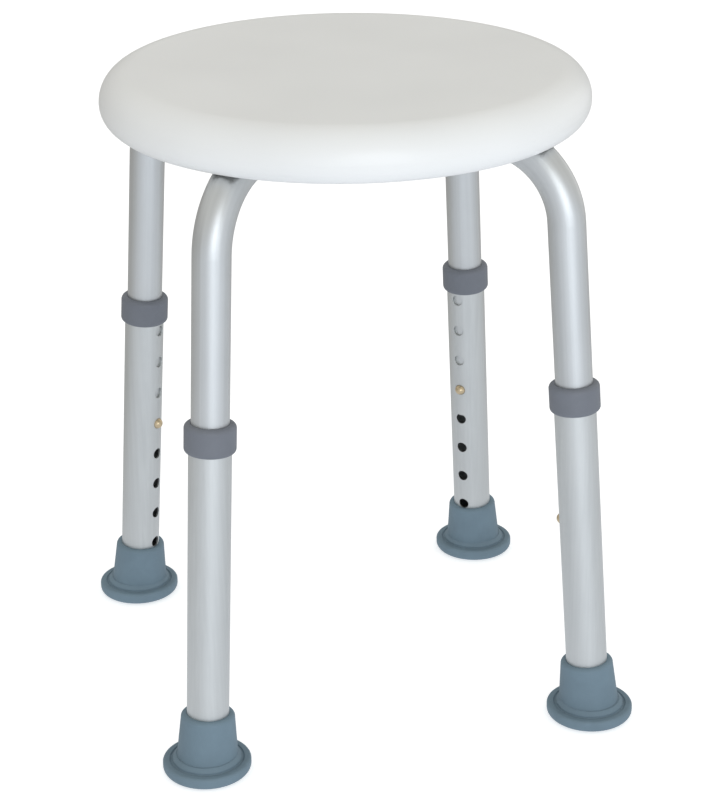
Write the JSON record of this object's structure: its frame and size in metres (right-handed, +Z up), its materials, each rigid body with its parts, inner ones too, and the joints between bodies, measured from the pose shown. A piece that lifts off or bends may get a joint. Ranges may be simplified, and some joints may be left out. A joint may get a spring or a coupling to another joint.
{
  "type": "shower stool",
  "caption": "Round plastic seat on crossed tube frame with telescoping splayed legs, snap-button height locks, grey collars and rubber feet.",
  "frame": {"origin": "on the floor, under the centre of the seat, legs locked in the fourth hole from the top", "axes": "+Z up, -Y the side that faces the viewer, +X to the viewer's right; the legs stand on the diagonals"},
  "size_m": [0.3346, 0.3346, 0.445],
  "materials": {
    "seat_shell": "fine satin texture",
    "seat_plug": "satin",
    "seat_inserts": "turned",
    "seat_screws": "zinc plated",
    "saddle_washers": "moulded",
    "upper_tube": "satin anodised",
    "lower_tube": "satin anodised",
    "collar": "moulded",
    "foot": "matt",
    "foot_washer": "zinc plated",
    "button": "satin",
    "spring_clip": "spring steel"
  },
  "bodies": {
    "frame": {"seat_shell": "seat_shell", "seat_plug": "seat_plug", "seat_inserts": "seat_inserts", "seat_screws": "seat_screws", "saddle_washers": "saddle_washers", "frame_tube_a": "upper_tube", "frame_tube_b": "upper_tube", "spring_clip_fl": "spring_clip", "spring_clip_fr": "spring_clip", "spring_clip_br": "spring_clip", "spring_clip_bl": "spring_clip"},
    "leg_fl": {"lower_tube_fl": "lower_tube", "collar_fl": "collar", "foot_fl": "foot", "foot_washer_fl": "foot_washer"},
    "button_fl": {"button_fl": "button"},
    "leg_fr": {"lower_tube_fr": "lower_tube", "collar_fr": "collar", "foot_fr": "foot", "foot_washer_fr": "foot_washer"},
    "button_fr": {"button_fr": "button"},
    "leg_br": {"lower_tube_br": "lower_tube", "collar_br": "collar", "foot_br": "foot", "foot_washer_br": "foot_washer"},
    "button_br": {"button_br": "button"},
    "leg_bl": {"lower_tube_bl": "lower_tube", "collar_bl": "collar", "foot_bl": "foot", "foot_washer_bl": "foot_washer"},
    "button_bl": {"button_bl": "button"}
  },
  "joints": [
    {"name": "leg_slide_fl", "type": "slide", "parent": "frame", "child": "leg_fl", "axis": [-0.0536, -0.0536, -0.9971], "range_m": [-0.1016, 0.0762], "deforming": ["button_fl"]},
    {"name": "leg_slide_fr", "type": "slide", "parent": "frame", "child": "leg_fr", "axis": [0.0536, -0.0536, -0.9971], "range_m": [-0.1016, 0.0762], "deforming": ["button_fr"]},
    {"name": "leg_slide_br", "type": "slide", "parent": "frame", "child": "leg_br", "axis": [0.0536, 0.0536, -0.9971], "range_m": [-0.1016, 0.0762], "deforming": ["button_br"]},
    {"name": "leg_slide_bl", "type": "slide", "parent": "frame", "child": "leg_bl", "axis": [-0.0536, 0.0536, -0.9971], "range_m": [-0.1016, 0.0762], "deforming": ["button_bl"]},
    {"name": "button_press_fl", "type": "slide", "parent": "frame", "child": "button_fl", "axis": [0.7051, 0.7051, -0.0758], "range_m": [-0.005, 0], "stiffness_N_per_m": 3000, "springref_m": 0.002, "deforming": ["spring_clip_fl"]},
    {"name": "button_press_fr", "type": "slide", "parent": "frame", "child": "button_fr", "axis": [-0.7051, 0.7051, -0.0758], "range_m": [-0.005, 0], "stiffness_N_per_m": 3000, "springref_m": 0.002, "deforming": ["spring_clip_fr"]},
    {"name": "button_press_br", "type": "slide", "parent": "frame", "child": "button_br", "axis": [-0.7051, -0.7051, -0.0758], "range_m": [-0.005, 0], "stiffness_N_per_m": 3000, "springref_m": 0.002, "deforming": ["spring_clip_br"]},
    {"name": "button_press_bl", "type": "slide", "parent": "frame", "child": "button_bl", "axis": [0.7051, -0.7051, -0.0758], "range_m": [-0.005, 0], "stiffness_N_per_m": 3000, "springref_m": 0.002, "deforming": ["spring_clip_bl"]}
  ]
}
